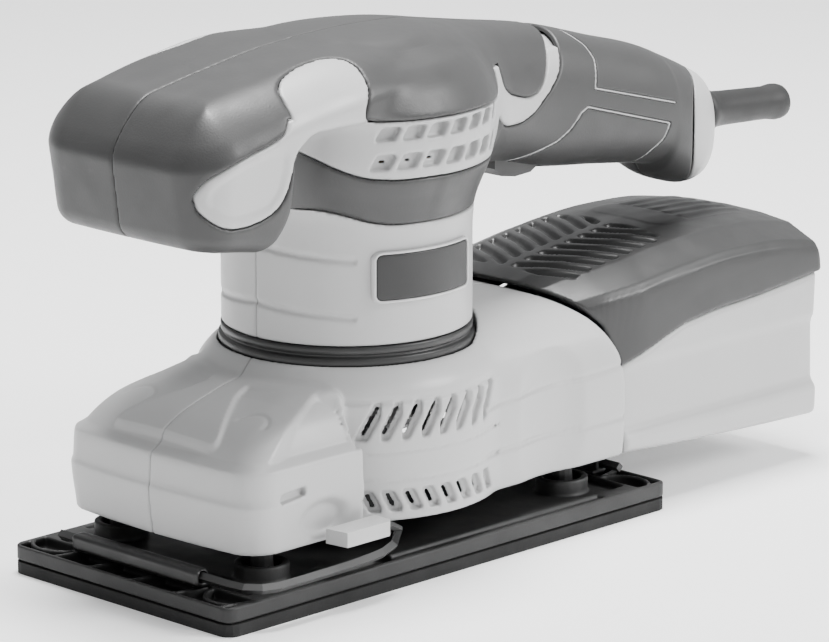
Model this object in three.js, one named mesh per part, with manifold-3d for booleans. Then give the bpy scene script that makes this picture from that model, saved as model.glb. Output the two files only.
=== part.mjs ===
// One-third-sheet orbital sander with a palm grip, a rear handle and a slide-off dust box.
//
// Frame, in millimetres: the origin is the centre of the sanding face, under the motor's axis.
// +X points from the nose to the tail, +Y to the tool's right-hand side and +Z up.

import * as THREE from 'three';
import { LoftGeometry } from 'three/addons/geometries/LoftGeometry.js';
import { mergeVertices } from 'three/addons/utils/BufferGeometryUtils.js';
import Module from 'manifold-3d';

// ---------------------------------------------------------------- driving dimensions

const GAP = 0.3; // clearance between neighbouring pieces

const PLATE_LENGTH = 185;
const PLATE_WIDTH = 93;
const PLATE_TOP = 8.7;
const PAD_THICKNESS = 3.6;
const ORBIT_RADIUS = 1; // offset of the crank pin from the motor's axis

const WALL = 3.6; // housing wall, with the rubber laid into it
const RUBBER = 1.4;

const BODY_RADIUS = 37.3; // motor barrel at the collar
const HEAD_RADIUS = 42.8; // the same barrel at the upper vents
const COLLAR_RADIUS = 37.4;
const COLLAR_LOW = 62.5;
const COLLAR_HIGH = 70.3;

const SHROUD_RADIUS = 46;
const SHROUD_LOW = 18.5;
const SHROUD_WALL = 2.8;
const SHROUD_REAR = 80; // rear face, where the dust box seats

const HANDLE_END = 163;
const GUARD_END = 200;
const CORD_HEIGHT = 108.5;
const CORD_BORE = 3.8; // bore of the guard, for a 7 mm mains cord

const BOX_REAR = 172;
const BOX_HALF_WIDTH = 38;
const BOX_WALL = 2.2;
const PORT_HEIGHT = 38;
const PORT_RADIUS = 11;

const CLAMP_X = 84; // distance of each paper clamp's rod from the centre
const CLAMP_Z = 12.2;
const WIRE_RADIUS = 1.5;

// ---------------------------------------------------------------- finishes

const finish = (color, roughness, metalness = 0) => ({ color, roughness, metalness });
const SHELL = finish(0xc9cbcd, 0.5);
const RUBBER_GRIP = finish(0x54565a, 0.68);
const DARK_PLASTIC = finish(0x3a3b3e, 0.5);
const BLACK_PLASTIC = finish(0x1d1e20, 0.55);
const LID_PLASTIC = finish(0x4a4b4e, 0.38);
const FOAM = finish(0x26272a, 0.95);
const STEEL = finish(0xa6a9ad, 0.35, 1);
const COPPER = finish(0xb06a3a, 0.4, 1);
const LAMINATION = finish(0x6d7075, 0.5, 1);
const CARBON = finish(0x232323, 0.7);
const FABRIC = finish(0xb9b5a8, 0.95);
const BLACK_RUBBER = finish(0x17181a, 0.6);

const group = new THREE.Group();
const wasm = await Module();
wasm.setup();

// ---------------------------------------------------------------- solids and booleans

// A closed geometry as a solid that can be joined and cut.
function solid(geometry) {
  const bare = new THREE.BufferGeometry();
  bare.setAttribute('position', geometry.getAttribute('position'));
  bare.setIndex(geometry.index);
  const merged = mergeVertices(bare, 1e-4);
  return new wasm.Manifold(
    new wasm.Mesh({
      numProp: 3,
      vertProperties: new Float32Array(merged.attributes.position.array),
      triVerts: new Uint32Array(merged.index.array),
    }),
  );
}

// A solid back as a geometry.
function geometryOf(body) {
  const mesh = body.getMesh();
  const geometry = new THREE.BufferGeometry();
  geometry.setAttribute('position', new THREE.BufferAttribute(mesh.vertProperties, 3));
  geometry.setIndex(new THREE.BufferAttribute(mesh.triVerts, 1));
  const faceted = geometry.toNonIndexed();
  faceted.computeVertexNormals();
  return faceted;
}

const join = (bodies) => bodies.reduce((whole, body) => whole.add(body));
const cut = (body, tools) => tools.reduce((whole, tool) => whole.subtract(tool), body);

// Adds one named piece, given as a solid or as a closed geometry.
function piece(name, shape, look) {
  const geometry = shape.isBufferGeometry ? shape : geometryOf(shape);
  const material = new THREE.MeshStandardMaterial({ ...look, name });
  const mesh = new THREE.Mesh(geometry, material);
  mesh.name = name;
  group.add(mesh);
  return mesh;
}

// ---------------------------------------------------------------- shape helpers

const flat = (points) => new THREE.Shape(points.map(([u, v]) => new THREE.Vector2(u, v)));

// An outline in X and Z, carried along Y from low to high.
function prismY(points, low, high) {
  const geometry = new THREE.ExtrudeGeometry(flat(points), { depth: high - low, bevelEnabled: false });
  return solid(geometry.rotateX(Math.PI / 2).translate(0, high, 0));
}

// An outline in X and Y, carried along Z from low to high.
function prismZ(points, low, high) {
  const geometry = new THREE.ExtrudeGeometry(flat(points), { depth: high - low, bevelEnabled: false });
  return solid(geometry.translate(0, 0, low));
}

// An outline in Y and Z, carried along X from low to high.
function prismX(points, low, high) {
  const geometry = new THREE.ExtrudeGeometry(flat(points), { depth: high - low, bevelEnabled: false });
  const turn = new THREE.Matrix4().makeBasis(
    new THREE.Vector3(0, 1, 0),
    new THREE.Vector3(0, 0, 1),
    new THREE.Vector3(1, 0, 0),
  );
  return solid(geometry.applyMatrix4(turn).translate(low, 0, 0));
}

function box([x0, x1], [y0, y1], [z0, z1]) {
  const geometry = new THREE.BoxGeometry(x1 - x0, y1 - y0, z1 - z0);
  return solid(geometry.translate((x0 + x1) / 2, (y0 + y1) / 2, (z0 + z1) / 2));
}

// A body of revolution about the vertical through (x, y), from [radius, z] points.
function turnedZ(profile, x = 0, y = 0, segments = 32) {
  const points = profile.map(([radius, z]) => new THREE.Vector2(radius, z));
  return solid(new THREE.LatheGeometry(points, segments).rotateX(Math.PI / 2).translate(x, y, 0));
}

// A body of revolution about a line along +X, from [radius, x] points.
function turnedX(profile, y, z, segments = 20) {
  const points = profile.map(([radius, along]) => new THREE.Vector2(radius, along));
  return solid(new THREE.LatheGeometry(points, segments).rotateZ(-Math.PI / 2).translate(0, y, z));
}

// A body of revolution about a line along +Y, from [radius, y] points.
function turnedY(profile, x, z, segments = 16) {
  const points = profile.map(([radius, along]) => new THREE.Vector2(radius, along));
  return solid(new THREE.LatheGeometry(points, segments).translate(x, 0, z));
}

const disc = (radius, low, high, x = 0, y = 0, segments = 32) =>
  turnedZ([[0, low], [radius, low], [radius, high], [0, high]], x, y, segments);

const washer = (inner, outer, low, high, x = 0, y = 0, segments = 32) =>
  turnedZ([[inner, low], [outer, low], [outer, high], [inner, high], [inner, low]], x, y, segments);

// A rectangle with rounded corners, as points around its centre.
function roundedRectangle(cx, cy, width, height, radius, steps = 4) {
  const points = [];
  const corners = [[1, 1, 0], [-1, 1, 90], [-1, -1, 180], [1, -1, 270]];
  for (const [sx, sy, start] of corners) {
    for (let i = 0; i <= steps; i++) {
      const angle = THREE.MathUtils.degToRad(start + (90 * i) / steps);
      const x = cx + sx * (width / 2 - radius) + radius * Math.cos(angle);
      const y = cy + sy * (height / 2 - radius) + radius * Math.sin(angle);
      points.push([x, y]);
    }
  }
  return points;
}

// An outline moved inwards by a fixed distance.
function drawnIn(points, distance) {
  const count = points.length;
  const area = points.reduce((sum, [x, z], i) => {
    const [u, v] = points[(i + 1) % count];
    return sum + (x * v - u * z) / 2;
  }, 0);
  const way = Math.sign(area);
  return points.map(([x, z], i) => {
    const before = points[(i + count - 1) % count];
    const after = points[(i + 1) % count];
    const first = new THREE.Vector2(x - before[0], z - before[1]).normalize();
    const second = new THREE.Vector2(after[0] - x, after[1] - z).normalize();
    const normal = new THREE.Vector2(-first.y - second.y, first.x + second.x).normalize();
    const lean = Math.max(normal.dot(new THREE.Vector2(-first.y, first.x)), 0.3);
    return [x + (way * normal.x * distance) / lean, z + (way * normal.y * distance) / lean];
  });
}

// A bar of round section along a bent line.
function wire(points, radius, steps, sides = 8) {
  const path = new THREE.CatmullRomCurve3(points.map((p) => new THREE.Vector3(...p)), false, 'centripetal');
  const ring = new THREE.Shape();
  ring.absarc(0, 0, radius, 0, Math.PI * 2);
  return new THREE.ExtrudeGeometry(ring, { steps, curveSegments: sides, bevelEnabled: false, extrudePath: path });
}

// Sections across X, each [x, low, high, half width, squareness], skinned into one solid and
// drawn in by inset on every side.
function hullAlongX(stations, inset, count) {
  const last = stations.length - 1;
  const start = stations[0][0] + inset;
  const end = stations[last][0] - inset;
  const sections = stations.map(([place, low, high, halfWidth, squareness], i) => {
    const x = THREE.MathUtils.clamp(place, start + 0.2 * i, end - 0.2 * (last - i));
    const middle = (low + high) / 2;
    const halfHeight = (high - low) / 2 - inset;
    return Array.from({ length: count }, (_, k) => {
      const angle = ((k + 0.5) / count) * Math.PI * 2;
      const c = Math.cos(angle);
      const s = Math.sin(angle);
      const y = (halfWidth - inset) * Math.sign(c) * Math.abs(c) ** (2 / squareness);
      const z = middle + halfHeight * Math.sign(s) * Math.abs(s) ** (2 / squareness);
      return new THREE.Vector3(x, y, z);
    });
  });
  return solid(new LoftGeometry(sections, { capStart: true, capEnd: true }));
}

// Rounded rectangles stacked up Z, each [z, x low, x high, half width, corner radius].
function hullAlongZ(stations, inset) {
  const sections = stations.map(([z, low, high, halfWidth, radius]) => {
    const width = high - low - 2 * inset;
    const depth = 2 * (halfWidth - inset);
    const corner = Math.max(radius - inset, 1);
    const points = roundedRectangle((low + high) / 2, 0, width, depth, corner, 5);
    return points.map(([x, y]) => new THREE.Vector3(x, y, z));
  });
  return solid(new LoftGeometry(sections, { capStart: true, capEnd: true }));
}

// ---------------------------------------------------------------- motor housing and handle

// The palm grip and rear handle, nose to tail: [x, low, high, half width, squareness].
const HANDLE_STATIONS = [
  [-93, 116, 129, 22, 2.6],
  [-91.6, 111.5, 134.5, 31, 3],
  [-87, 108.6, 139, 35.6, 3],
  [-76, 104.6, 144.6, 38.2, 3],
  [-58, 101.6, 149.8, 39.1, 2.9],
  [-30, 100, 155.2, 39.7, 2.7],
  [0, 101, 157.3, 39.4, 2.6],
  [20, 105, 156.3, 35.5, 2.5],
  [36, 108.5, 154, 27, 2.4],
  [50, 108.9, 151.8, 20.9, 2.4],
  [76, 104.8, 147.6, 18, 2.4],
  [118, 95.6, 136.7, 18.3, 2.4],
  [132, 90.4, 131.5, 18.6, 2.4],
  [142, 87.2, 126.6, 18.4, 2.4],
  [152, 87, 121.2, 17.5, 2.4],
  [160, 90, 116.5, 14.6, 2.4],
  [HANDLE_END, 95, 112, 10, 2.2],
];

// The barrel round the motor: [radius, z].
const BARREL_PROFILE = [
  [BODY_RADIUS, COLLAR_HIGH + GAP],
  [BODY_RADIUS, 100],
  [39, 109],
  [42.4, 119],
  [HEAD_RADIUS, 126],
  [HEAD_RADIUS, 133],
  [39.6, 142],
  [33, 149],
];

// The hollow behind the nose on each side where fingers and thumb rest: x, y, radius, top.
const NOTCH = { x: -49, y: 38, radius: 11.5, low: 80, high: 126 };

function notchTool(side, inset) {
  const r = NOTCH.radius + inset;
  const profile = [[0, NOTCH.low], [r, NOTCH.low], [r, NOTCH.high]];
  for (const share of [0.4, 0.8]) {
    profile.push([r * Math.sqrt(1 - share * share), NOTCH.high + share * r]);
  }
  profile.push([0, NOTCH.high + r]);
  return turnedZ(profile, NOTCH.x, side * NOTCH.y, 14);
}

// The whole outside of housing and handle, drawn in by inset, with count facets round the handle.
function housingBody(inset, count) {
  const barrel = [[0, BARREL_PROFILE[0][1] - (inset > 0 ? 1 : 0)]];
  BARREL_PROFILE.forEach(([radius, z], i) => {
    barrel.push([radius - inset, i === 0 && inset > 0 ? z - 1 : z]);
  });
  barrel.push([0, BARREL_PROFILE.at(-1)[1]]);
  const whole = hullAlongX(HANDLE_STATIONS, inset, count).add(turnedZ(barrel, 0, 0, count + 8));
  return cut(whole, [notchTool(-1, inset), notchTool(1, inset)]);
}

const outside = housingBody(0, 20);
const underRubber = housingBody(RUBBER, 20);
const underRubberGap = housingBody(RUBBER + GAP, 20);
const inside = housingBody(WALL, 12);

// Side outlines in X and Z of the rubber grips.
const FRONT_GRIP = [
  [-96, 94], [-40, 94], [-36, 110.3], [-29, 109.6], [-19, 104.4], [46.4, 103.4], [46.4, 118.4],
  [27, 119.2], [-20, 119.2], [-29, 120.8], [-37, 127], [-46, 131], [-58, 131.5], [-60.6, 121.5],
  [-64, 115], [-74, 110.8], [-82, 114], [-86, 121.5], [-79, 130], [-62, 138.2], [-57.4, 143.2],
  [-55.6, 147.6], [-44, 151.6], [-32, 153], [-26, 150.6], [-31.5, 140], [-29, 136.6],
  [-18.6, 135.8], [12, 135.4], [46.2, 133.4], [44.6, 141], [36.4, 152], [35.5, 162], [-96, 162],
];
const MIDDLE_GRIP = [
  [39, 162], [40, 153], [47.6, 141.4], [49.4, 132.6], [58.7, 129.2], [64.2, 129.4], [68, 136.4],
  [67.6, 144], [63, 151], [61, 162],
];
const REAR_GRIP = [
  [64.5, 162], [66, 153], [73, 146.2], [75, 138], [69.6, 127.6], [65, 122.8], [56.5, 120.4],
  [50.4, 121], [50.4, 80], [160, 80], [160, 162],
];

// The tail cap's front edge, seen from above: it bows towards the nose at each side.
const capFront = (offset) => {
  const points = [];
  for (let i = 0; i <= 8; i++) {
    const y = -24 + 6 * i;
    points.push([152.5 + offset - 0.034 * y * y, y]);
  }
  return [...points, [190, 24], [190, -24]].reverse();
};
const capSpace = (offset) => prismZ(capFront(offset), 70, 140);

const halfSpace = (side) =>
  side < 0 ? box([-110, 180], [-60, -GAP / 2], [60, 170]) : box([-110, 180], [GAP / 2, 60], [60, 170]);

// Long slanting slots through the barrel, in rows: angle about Z, centre height, height.
function ventTools(side, rows, radius, reach) {
  const tools = [];
  for (const { first, step, count, centre, height, width, slant } of rows) {
    for (let i = 0; i < count; i++) {
      const bearing = THREE.MathUtils.degToRad(first + step * i) * side;
      const slot = new THREE.BoxGeometry(reach, width, height);
      slot.rotateX(THREE.MathUtils.degToRad(slant) * side);
      slot.translate(radius, 0, centre);
      tools.push(solid(slot.rotateZ(bearing)));
    }
  }
  return tools;
}

const BODY_VENTS = [
  { first: 52, step: 11, count: 7, centre: 132.2, height: 4, width: 5, slant: -24 },
  { first: 54, step: 11, count: 7, centre: 124, height: 4.4, width: 5, slant: -24 },
];

const SCREW_PLACES = [[-72, 118], [58, 140], [100, 118], [30, 146]];
const SCREW_RADIUS = 1.5;
const SWITCH = { low: 54, high: 80, base: 118, top: 134, half: 9 };
const TRIGGER = { low: 56, high: 76, half: 7, top: 114, bottom: 103.6, travel: 3 };

function screwBoss(side, [x, z]) {
  const reach = side < 0 ? [-40, -GAP / 2] : [GAP / 2, 40];
  return turnedY([[0, reach[0]], [3.8, reach[0]], [3.8, reach[1]], [0, reach[1]]], x, z, 12);
}

function screwBore([x, z]) {
  return turnedY([[0, -9], [SCREW_RADIUS + GAP, -9], [SCREW_RADIUS + GAP, 10.5], [3.3, 10.5], [3.3, 50], [0, 50]], x, z, 12);
}

// Ribs inside each half that carry the upper bearing and the stator.
function motorRibs() {
  const seat = disc(13, 135.6, 143.6, 0, 0, 24);
  const spine = box([-30, 30], [-2.2, 2.2], [140, 156]);
  const web = box([-2.2, 2.2], [-30, 30], [140, 156]);
  return join([seat, spine, web]).subtract(disc(9.5 + GAP, 130, 142.4, 0, 0, 24)).subtract(disc(5, 130, 160));
}

function housingHalf(side) {
  const fittings = join([motorRibs(), ...SCREW_PLACES.map((place) => screwBoss(side, place))]);
  const wall = outside.subtract(inside).add(fittings.intersect(underRubber));
  const pockets = [FRONT_GRIP, MIDDLE_GRIP, REAR_GRIP].map((outline) =>
    prismY(outline, -60, 60).subtract(underRubberGap));
  const trigger = box([TRIGGER.low - GAP, TRIGGER.high + GAP], [-TRIGGER.half - GAP, TRIGGER.half + GAP], [90, 116]);
  const half = wall.intersect(halfSpace(side));
  return cut(half, [
    ...pockets,
    capSpace(-GAP),
    trigger,
    ...SCREW_PLACES.map(screwBore),
    ...ventTools(side, BODY_VENTS, 41, 14),
  ]);
}

const skin = outside.subtract(underRubber);
for (const [side, hand] of [[-1, 'left'], [1, 'right']]) {
  piece(`housing_${hand}`, housingHalf(side), SHELL);
  const half = halfSpace(side);
  const shrink = GAP;
  const grips = [['grip_front', FRONT_GRIP], ['grip_middle', MIDDLE_GRIP], ['grip_rear', REAR_GRIP]];
  for (const [name, outline] of grips) {
    let body = prismY(drawnIn(outline, shrink), -60, 60).intersect(skin).intersect(half);
    body = body.subtract(capSpace(-GAP * 2));
    const opening = box([TRIGGER.low - 1, TRIGGER.high + 1], [-TRIGGER.half - 1, TRIGGER.half + 1], [90, 116]);
    piece(`${name}_${hand}`, cut(body, [opening, ...SCREW_PLACES.map(screwBore)]), RUBBER_GRIP);
  }
}

// ---------------------------------------------------------------- tail cap, cord guard, collar, name plate

const guardBore = turnedX([[0, 140], [6.4, 140], [6.4, 170], [0, 170]], 0, CORD_HEIGHT);
piece('handle_end_cap', cut(outside.subtract(inside).intersect(capSpace(GAP / 2)), [guardBore]), SHELL);

const GUARD_PROFILE = [
  [CORD_BORE, 146], [8.6, 146], [8.6, 149], [6.1, 149.4], [6.1, 163.3], [7.4, 163.9], [7, 166.6],
  [5.8, 168.4], [5.5, 192], [5.9, 196], [5.6, 199], [4.6, GUARD_END], [CORD_BORE, GUARD_END], [CORD_BORE, 146],
];
piece('cord_guard', turnedX(GUARD_PROFILE, 0, CORD_HEIGHT, 16), BLACK_RUBBER);

const COLLAR_PROFILE = [
  [32.4, COLLAR_LOW], [COLLAR_RADIUS + 0.6, COLLAR_LOW], [COLLAR_RADIUS + 0.8, 64.6],
  [COLLAR_RADIUS - 0.8, 65], [COLLAR_RADIUS - 0.8, 66], [COLLAR_RADIUS, 66.4],
  [COLLAR_RADIUS, COLLAR_HIGH], [32.4, COLLAR_HIGH], [32.4, COLLAR_LOW],
];
piece('body_collar', turnedZ(COLLAR_PROFILE, 0, 0, 40), DARK_PLASTIC);

// The blank badge wraps a little over fifty degrees of the barrel's left side.
function badge() {
  const band = turnedZ([[37.6, 81.8], [38.9, 81.8], [38.9, 97], [37.6, 97], [37.6, 81.8]], 0, 0, 72);
  const window = roundedRectangle(-3, 89.4, 36, 15.2, 2.4, 3);
  return band.intersect(prismY(window, -60, 0));
}
piece('name_plate', badge(), DARK_PLASTIC);

// ---------------------------------------------------------------- shroud over the platen

const FRONT_BLOCK = [
  [SHROUD_LOW, -78.8, 0, 41, 9],
  [43.5, -85.6, 0, 42.6, 10],
  [48, -85.4, 0, 42, 10],
  [52, -80, 0, 40, 10],
  [57, -67, 0, 34, 12],
  [60.5, -46, 0, 26, 12],
];
const SHROUD_TURNED = [
  [0, SHROUD_LOW], [SHROUD_RADIUS, SHROUD_LOW], [SHROUD_RADIUS, 53.4], [SHROUD_RADIUS - 1.2, 54.2],
  [SHROUD_RADIUS - 1.2, 55.4], [44, 57.4], [40.6, 60.6], [38.6, COLLAR_LOW - GAP], [0, COLLAR_LOW - GAP],
];
const REAR_SECTION = [
  [-40, SHROUD_LOW], [-41, 26], [-41, 46], [-40.2, 54], [-37, 61], [-31, 66], [-21, 69], [0, 70],
  [21, 69], [31, 66], [37, 61], [40.2, 54], [41, 46], [41, 26], [40, SHROUD_LOW],
];
const REAR_OUTLINE = [
  [0, SHROUD_LOW], [SHROUD_REAR, SHROUD_LOW - 1.5], [SHROUD_REAR, 46], [74.4, 57], [66, 66],
  [58, 71], [0, 72],
];

function shroudBody(inset) {
  const drop = inset > 0 ? 2 : 0;
  const front = FRONT_BLOCK.map(([z, low, high, halfWidth, radius], i) => {
    const level = i === 0 ? z - drop : z - inset;
    return [level, low, high, halfWidth, radius];
  });
  const turned = SHROUD_TURNED.map(([radius, z]) => [
    Math.max(radius - inset, 0),
    z === SHROUD_LOW ? z - drop : z - inset,
  ]);
  const section = drawnIn(REAR_SECTION, inset).map(([y, z], i, all) => [
    y,
    i === 0 || i === all.length - 1 ? SHROUD_LOW - 2 - drop : z,
  ]);
  const outline = drawnIn(REAR_OUTLINE, inset).map(([x, z], i) => [x, i < 2 ? SHROUD_LOW - 3 - drop : z]);
  const rear = prismX(section, 0, 90).intersect(prismY(outline, -60, 60));
  return join([hullAlongZ(front, inset), turnedZ(turned, 0, 0, 36), rear]);
}

const SHROUD_VENTS = [
  { first: 50, step: 9, count: 8, centre: 48, height: 11.5, width: 3.6, slant: -26 },
  { first: 50, step: 9, count: 8, centre: 24.2, height: 6, width: 3.6, slant: 26 },
];
const LEG_PLACES = [[-64, -30], [-64, 30], [62, -30], [62, 30]];
const BRACKET_LOW = 54.4;

function shroudHalf(side) {
  const collarSpace = disc(COLLAR_RADIUS + 1.2, COLLAR_LOW - GAP, 90, 0, 0, 36);
  const neck = disc(33, 50, 80, 0, 0, 28);
  const floorCut = box([-100, 100], [-60, 60], [0, SHROUD_LOW]);
  const port = turnedX([[0, 60], [PORT_RADIUS + GAP, 60], [PORT_RADIUS + GAP, 90], [0, 90]], 0, PORT_HEIGHT, 20);
  const legSockets = LEG_PLACES.map(([x, y]) => disc(6, 40, 70, x, y, 12).intersect(shroudBody(1)));
  const half = shroudBody(0).subtract(shroudBody(SHROUD_WALL)).add(join(legSockets));
  const legHoles = LEG_PLACES.map(([x, y]) => disc(3.6 + GAP, 30, 50, x, y, 12));
  const keep = side < 0
    ? box([-110, 110], [-60, -GAP / 2], [0, 90])
    : box([-110, 110], [GAP / 2, 60], [0, 90]);
  return cut(half, [collarSpace, neck, floorCut, port, ...legHoles, ...ventTools(side, SHROUD_VENTS, 45, 9)])
    .intersect(keep);
}
piece('shroud_left', shroudHalf(-1), SHELL);
piece('shroud_right', shroudHalf(1), SHELL);

// ---------------------------------------------------------------- motor, top to bottom

const bracketWall = 33 - GAP;
piece('bearing_bracket', turnedZ([
  [11.3, 52.4], [15, 52.4], [15, 58.4], [bracketWall, 58.4], [bracketWall, 61.4], [6, 61.4], [6, 59.6],
  [11.3, 59.6], [11.3, 52.4],
], 0, 0, 28), DARK_PLASTIC);
piece('lower_bearing', washer(4.2, 11, 52.4, 59.3, 0, 0, 24), STEEL);
piece('upper_bearing', washer(3.8, 9.5, 136, 142, 0, 0, 24), STEEL);

// The shaft ends in a crank pin that stands off the motor's axis by the orbit radius.
const shaft = turnedZ([
  [0, 33], [6, 33], [6, 36], [3.9, 36], [3.9, 134], [3.5, 134], [3.5, 144.6], [0, 144.6],
], 0, 0, 20);
piece('motor_shaft', shaft.add(disc(4.9, 20.6, 33.4, ORBIT_RADIUS, 0, 20)), STEEL);
piece('armature_core', washer(4.2, 17, 84, 116, 0, 0, 24), LAMINATION);
piece('armature_winding', washer(4.2, 14.6, 116.3, 121.4, 0, 0, 20), COPPER);
piece('commutator', washer(4.2, 11, 122.4, 132.4, 0, 0, 24), COPPER);

const STATOR = { bore: 18, outer: 31.8, low: 85, high: 115 };
function stator() {
  const yoke = washer(27, STATOR.outer, STATOR.low, STATOR.high, 0, 0, 28);
  const pole = box([-31, 31], [-11, 11], [STATOR.low, STATOR.high]);
  const shoe = washer(STATOR.bore, 22, STATOR.low, STATOR.high, 0, 0, 28);
  const shoes = shoe.intersect(box([-40, 40], [-15.5, 15.5], [80, 120]));
  const poles = pole.intersect(disc(30, 80, 120, 0, 0, 28));
  return join([yoke, poles, shoes]).subtract(disc(STATOR.bore, 80, 120, 0, 0, 28));
}
piece('stator_core', stator(), LAMINATION);

// One field coil round each pole.
for (const [side, name] of [[-1, 'field_coil_front'], [1, 'field_coil_rear']]) {
  const ring = washer(22.3, 26.7, 80.4, 119.6, 0, 0, 28);
  const half = side < 0 ? box([-30, 0], [-15.2, 15.2], [80, 120]) : box([0, 30], [-15.2, 15.2], [80, 120]);
  const window = box([-30, 30], [-11.3, 11.3], [STATOR.low - GAP, STATOR.high + GAP]);
  piece(name, ring.intersect(half).subtract(window), COPPER);
}

const brushHeight = 127.4;
for (const [side, hand] of [[-1, 'left'], [1, 'right']]) {
  const [near, far] = side < 0 ? [-33, -13] : [13, 33];
  const holder = box([-5, 5], [near, far], [brushHeight - 5.4, brushHeight + 5.4]);
  const channel = box([-3.3, 3.3], [-40, 40], [brushHeight - 4.1, brushHeight + 4.1]);
  piece(`brush_holder_${hand}`, holder.subtract(channel), BLACK_PLASTIC);
  const [brushNear, brushFar] = side < 0 ? [-26, -11.4] : [11.4, 26];
  const brush = box([-3, 3], [brushNear, brushFar], [brushHeight - 3.8, brushHeight + 3.8]);
  piece(`carbon_brush_${hand}`, brush, CARBON);
}

const FAN_BLADES = 9;
function fan() {
  const parts = [
    disc(29.5, 66, 67.8, 0, 0, 28),
    disc(8, 66, 78, 0, 0, 18),
  ];
  for (let i = 0; i < FAN_BLADES; i++) {
    const blade = new THREE.BoxGeometry(20, 1.6, 10).translate(18.5, 3, 71.8);
    parts.push(solid(blade.rotateZ((i / FAN_BLADES) * Math.PI * 2)));
  }
  return join(parts).subtract(disc(4.2, 60, 80, 0, 0, 20));
}
piece('cooling_fan', fan(), BLACK_PLASTIC);

// The counterweight sits opposite the crank pin.
function counterweight() {
  const sector = [[0, 0]];
  for (let i = 0; i <= 8; i++) {
    const angle = THREE.MathUtils.degToRad(110 + (140 * i) / 8);
    sector.push([27 * Math.cos(angle), 27 * Math.sin(angle)]);
  }
  const body = disc(10, 38, 50, 0, 0, 20).add(prismZ(sector, 38, 47));
  return body.subtract(disc(4.2, 30, 60, 0, 0, 20));
}
piece('counterweight', counterweight(), STEEL);
piece('crank_bearing', washer(5.2, 13, 21.6, 30.6, ORBIT_RADIUS, 0, 24), STEEL);

// ---------------------------------------------------------------- platen, pad and legs

const LEG_RADIUS = 3.6;
const SOCKET_RADIUS = 6;

function platen() {
  const low = PAD_THICKNESS + GAP;
  const plan = (shrink, radius) =>
    roundedRectangle(0, 0, PLATE_LENGTH - 2 * shrink, PLATE_WIDTH - 2 * shrink, radius, 3);
  const parts = [prismZ(plan(0, 4), low, PLATE_TOP)];
  parts.push(disc(17.5, 6, 31, ORBIT_RADIUS, 0, 28));
  for (const [x, y] of LEG_PLACES) {
    parts.push(disc(8, 6, 14, x, y, 16));
  }
  const tools = [disc(13.3, 21.3, 40, ORBIT_RADIUS, 0, 24), disc(9, 12, 40, ORBIT_RADIUS, 0, 20)];
  for (const [x, y] of LEG_PLACES) {
    tools.push(disc(SOCKET_RADIUS, 8, 20, x, y, 16));
  }
  for (const end of [-1, 1]) {
    for (let i = 0; i < 6; i++) {
      const y = -35 + 14 * i;
      const x = end * 87.4;
      tools.push(box([x - 3, x + 3], [y - 5.6, y + 5.6], [5.4, 12]));
    }
    const channel = end < 0 ? [-CLAMP_X - 0.6, -CLAMP_X + 12] : [CLAMP_X - 12, CLAMP_X + 0.6];
    tools.push(box(channel, [-40, 40], [6.6, 12]));
  }
  return cut(join(parts), tools);
}
piece('platen', platen(), BLACK_PLASTIC);
const padPlan = roundedRectangle(0, 0, PLATE_LENGTH, PLATE_WIDTH, 4, 3);
piece('sanding_pad', prismZ(padPlan, 0, PAD_THICKNESS), FOAM);

LEG_PLACES.forEach(([x, y], i) => {
  const leg = turnedZ([[0, 9.4], [LEG_RADIUS, 9.4], [LEG_RADIUS - 0.6, 20], [LEG_RADIUS - 0.6, 38],
    [LEG_RADIUS, 49.6], [0, 49.6]], x, y, 12);
  piece(`leg_${i + 1}`, leg, BLACK_RUBBER);
});

// ---------------------------------------------------------------- paper clamps

// Each clamp is a bent wire: a rod across the platen, an arm along its side and a finger tab.
function clampWire(way) {
  const points = [
    [-CLAMP_X, 34, CLAMP_Z], [-CLAMP_X, 10, CLAMP_Z], [-CLAMP_X, -30, CLAMP_Z],
    [-CLAMP_X + 1, -44, CLAMP_Z], [-CLAMP_X + 6, -48.4, CLAMP_Z], [-CLAMP_X + 14, -49, CLAMP_Z],
    [-40, -49, CLAMP_Z + 0.6], [-31, -49, CLAMP_Z + 2], [-27.4, -49, 17], [-28.4, -49, 20.6],
    [-33, -49, 21.4], [-42, -49, 21.4],
  ];
  return wire(points.map(([x, y, z]) => [way * x, way * y, z]), WIRE_RADIUS, 30, 2);
}

function clampJaw(way) {
  const strip = box([-CLAMP_X - 1.2, -CLAMP_X + 4.6], [-27, 27], [CLAMP_Z - 3.2, CLAMP_Z - 2]);
  const roll = turnedY([[WIRE_RADIUS + 0.35, -27], [3, -27], [3, 27], [WIRE_RADIUS + 0.35, 27],
    [WIRE_RADIUS + 0.35, -27]], -CLAMP_X, CLAMP_Z, 16);
  const body = strip.add(roll);
  return way < 0 ? body.rotate([0, 0, 180]) : body;
}

function clampTab(way) {
  const plan = [[-52, -44], [-51, -51.8], [-34, -51.8], [-32.4, -50.4], [-32.4, -44]];
  const body = prismZ(plan, 19, 23.4).subtract(turnedX([[0, -43], [WIRE_RADIUS + 0.35, -43],
    [WIRE_RADIUS + 0.35, -20], [0, -20]], -49, 21.4, 12));
  return way < 0 ? body.rotate([0, 0, 180]) : body;
}

for (const [way, end] of [[1, 'front'], [-1, 'rear']]) {
  piece(`clamp_wire_${end}`, clampWire(way), STEEL);
  piece(`clamp_jaw_${end}`, clampJaw(way), STEEL);
  piece(`clamp_tab_${end}`, clampTab(way), SHELL);
}

// ---------------------------------------------------------------- switch, trigger and cord clamp

piece('switch_module', box([SWITCH.low, SWITCH.high], [-SWITCH.half, SWITCH.half], [SWITCH.base, SWITCH.top]), BLACK_PLASTIC);

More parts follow.
